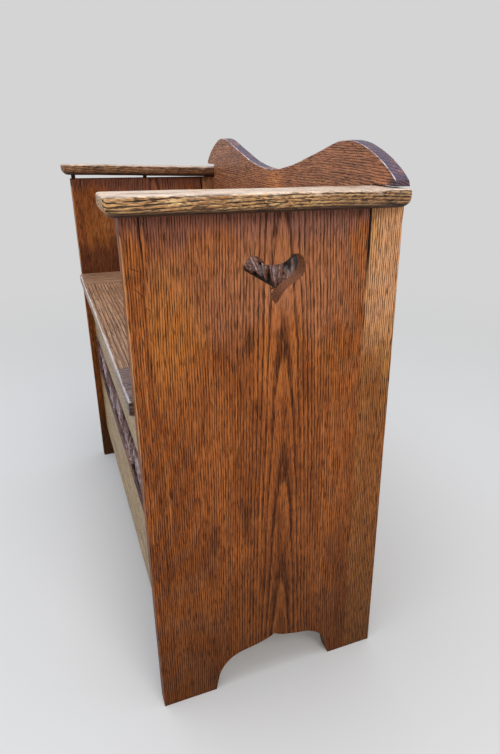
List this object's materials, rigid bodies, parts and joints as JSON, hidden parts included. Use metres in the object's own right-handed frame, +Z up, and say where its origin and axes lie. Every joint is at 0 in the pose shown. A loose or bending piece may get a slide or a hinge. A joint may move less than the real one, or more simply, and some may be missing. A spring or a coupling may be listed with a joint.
{
  "type": "box settle",
  "caption": "Small oak box settle with pierced end panels, flat arms, shaped crest board, carved rails and a hinged seat lid over a storage chest.",
  "frame": {"origin": "on the floor, under the middle of the bounding box", "axes": "+X along the seat towards the right-hand end as the sitter sees the front from outside, +Y from the front towards the back, +Z up"},
  "size_m": [0.882, 0.366, 0.7986],
  "materials": {
    "end_oak": "stained oak, waxed, dark open pores along the grain",
    "arm_oak": "golden oak worn by hands, bold dark pores",
    "crest_oak": "red-brown oak with an old wax polish",
    "seat_oak": "tan-brown oak, waxed, worn edges",
    "front_oak": "brown oak, glossy old polish",
    "back_oak": "brown oak, old polish",
    "box_wood": "unfinished inside wood",
    "dowel_oak": "dark aged oak dowel",
    "hinge_brass": "aged brass, dull in the hollows"
  },
  "bodies": {
    "carcase": {"left_end_front_board": "end_oak", "left_end_middle_board": "end_oak", "left_end_back_board": "end_oak", "right_end_front_board": "end_oak", "right_end_middle_board": "end_oak", "right_end_back_board": "end_oak", "left_arm": "arm_oak", "right_arm": "arm_oak", "left_arm_dowel_front": "dowel_oak", "left_arm_dowel_middle": "dowel_oak", "left_arm_dowel_back": "dowel_oak", "right_arm_dowel_front": "dowel_oak", "right_arm_dowel_middle": "dowel_oak", "right_arm_dowel_back": "dowel_oak", "crest_board": "crest_oak", "back_carved_rail": "back_oak", "back_upper_board": "back_oak", "back_lower_board": "back_oak", "front_top_rail": "front_oak", "front_carved_rail": "front_oak", "front_lower_board": "front_oak", "floor_front_board": "box_wood", "floor_middle_board": "box_wood", "floor_back_board": "box_wood", "floor_front_cleat": "box_wood", "floor_back_cleat": "box_wood", "left_seat_cleat": "box_wood", "right_seat_cleat": "box_wood", "back_seat_cleat": "box_wood", "left_front_glue_block": "box_wood", "left_back_glue_block": "box_wood", "right_front_glue_block": "box_wood", "right_back_glue_block": "box_wood", "left_seat_end": "seat_oak", "right_seat_end": "seat_oak", "hinge_rail": "seat_oak", "left_hinge_fixed_leaf": "hinge_brass", "left_hinge_pin": "hinge_brass", "left_hinge_rail_screw_a": "hinge_brass", "left_hinge_rail_screw_b": "hinge_brass", "right_hinge_fixed_leaf": "hinge_brass", "right_hinge_pin": "hinge_brass", "right_hinge_rail_screw_a": "hinge_brass", "right_hinge_rail_screw_b": "hinge_brass"},
    "lid": {"lid_front_board": "seat_oak", "lid_back_board": "seat_oak", "lid_left_batten": "box_wood", "lid_right_batten": "box_wood", "left_hinge_lid_leaf": "hinge_brass", "left_hinge_lid_screw_a": "hinge_brass", "left_hinge_lid_screw_b": "hinge_brass", "right_hinge_lid_leaf": "hinge_brass", "right_hinge_lid_screw_a": "hinge_brass", "right_hinge_lid_screw_b": "hinge_brass"}
  },
  "joints": [
    {"name": "lid_hinge", "type": "hinge", "parent": "carcase", "child": "lid", "pos_m": [0, 0.117, 0.496], "axis": [-1, 0, 0], "range_deg": [0, 96]}
  ]
}
